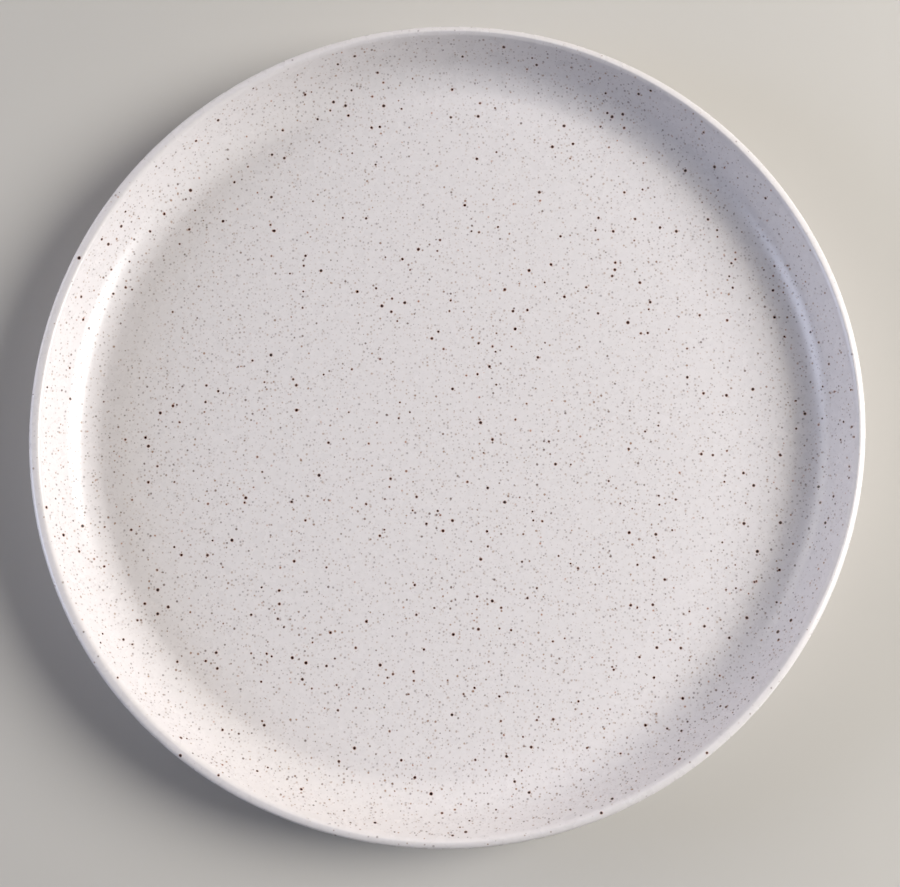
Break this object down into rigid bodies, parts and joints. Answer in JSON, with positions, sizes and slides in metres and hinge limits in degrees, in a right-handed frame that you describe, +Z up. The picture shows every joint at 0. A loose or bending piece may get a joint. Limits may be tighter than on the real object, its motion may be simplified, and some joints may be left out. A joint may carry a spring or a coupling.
{
  "type": "coupe dinner plate",
  "caption": "Round rimless stoneware dinner plate with a flat well, a wall that curves up to a narrow rounded lip, a speckled white glaze and a bare clay foot ring.",
  "frame": {"origin": "centre of the plane that the foot ring stands on", "axes": "+Z up along the plate's axis, +X and +Y level and alike because the plate is round"},
  "size_m": [0.27, 0.27, 0.024],
  "materials": {
    "bare_clay": "matte unglazed stoneware",
    "speckled_glaze": "satin gloss glaze with iron specks"
  },
  "bodies": {
    "root": {"stoneware_body": "bare_clay", "face_glaze": "speckled_glaze", "outer_glaze": "speckled_glaze", "base_glaze": "speckled_glaze"}
  },
  "joints": []
}
